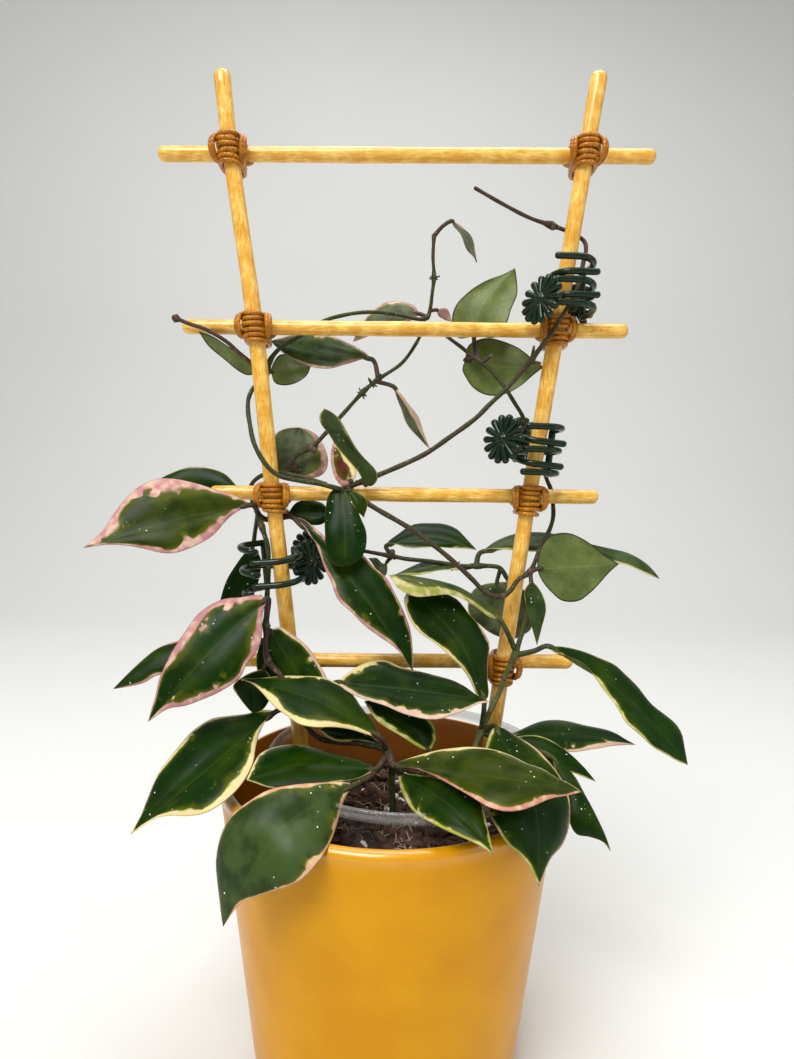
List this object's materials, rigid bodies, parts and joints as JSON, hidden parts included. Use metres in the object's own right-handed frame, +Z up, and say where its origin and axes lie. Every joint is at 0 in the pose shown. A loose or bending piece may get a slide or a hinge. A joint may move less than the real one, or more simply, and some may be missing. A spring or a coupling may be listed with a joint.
{
  "type": "potted climbing plant",
  "caption": "Variegated wax plant climbing a lashed stick trellis, in a clear nursery pot inside a glazed tapered cover pot.",
  "frame": {"origin": "centre of the cover pot's foot, where it stands", "axes": "+Z up, along the plant; -Y towards the trellis's front, where the uprights pass before the rungs; +X to the right as seen from there"},
  "size_m": [0.2446, 0.1527, 0.4274],
  "materials": {
    "glaze": "gloss",
    "clear_plastic": "clear, gloss",
    "potting_mix": "loose bark and soil, matt",
    "cane": "varnished",
    "cord": "waxed",
    "wire": "coated wire, satin",
    "plant": "waxy, satin"
  },
  "bodies": {
    "root": {"cover_pot": "glaze", "nursery_pot": "clear_plastic", "potting_mix": "potting_mix", "upright_left": "cane", "upright_right": "cane", "rung_1": "cane", "rung_2": "cane", "rung_3": "cane", "rung_4": "cane", "lashing_left_1": "cord", "lashing_left_2": "cord", "lashing_left_3": "cord", "lashing_left_4": "cord", "lashing_right_1": "cord", "lashing_right_2": "cord", "lashing_right_3": "cord", "lashing_right_4": "cord", "vine_clip_1": "wire", "vine_clip_2": "wire", "vine_clip_3": "wire", "left_vine": "plant", "low_shoot": "plant", "left_loop": "plant", "back_stem": "plant", "diagonal_up": "plant", "diagonal_down": "plant", "right_vine": "plant"}
  },
  "joints": []
}
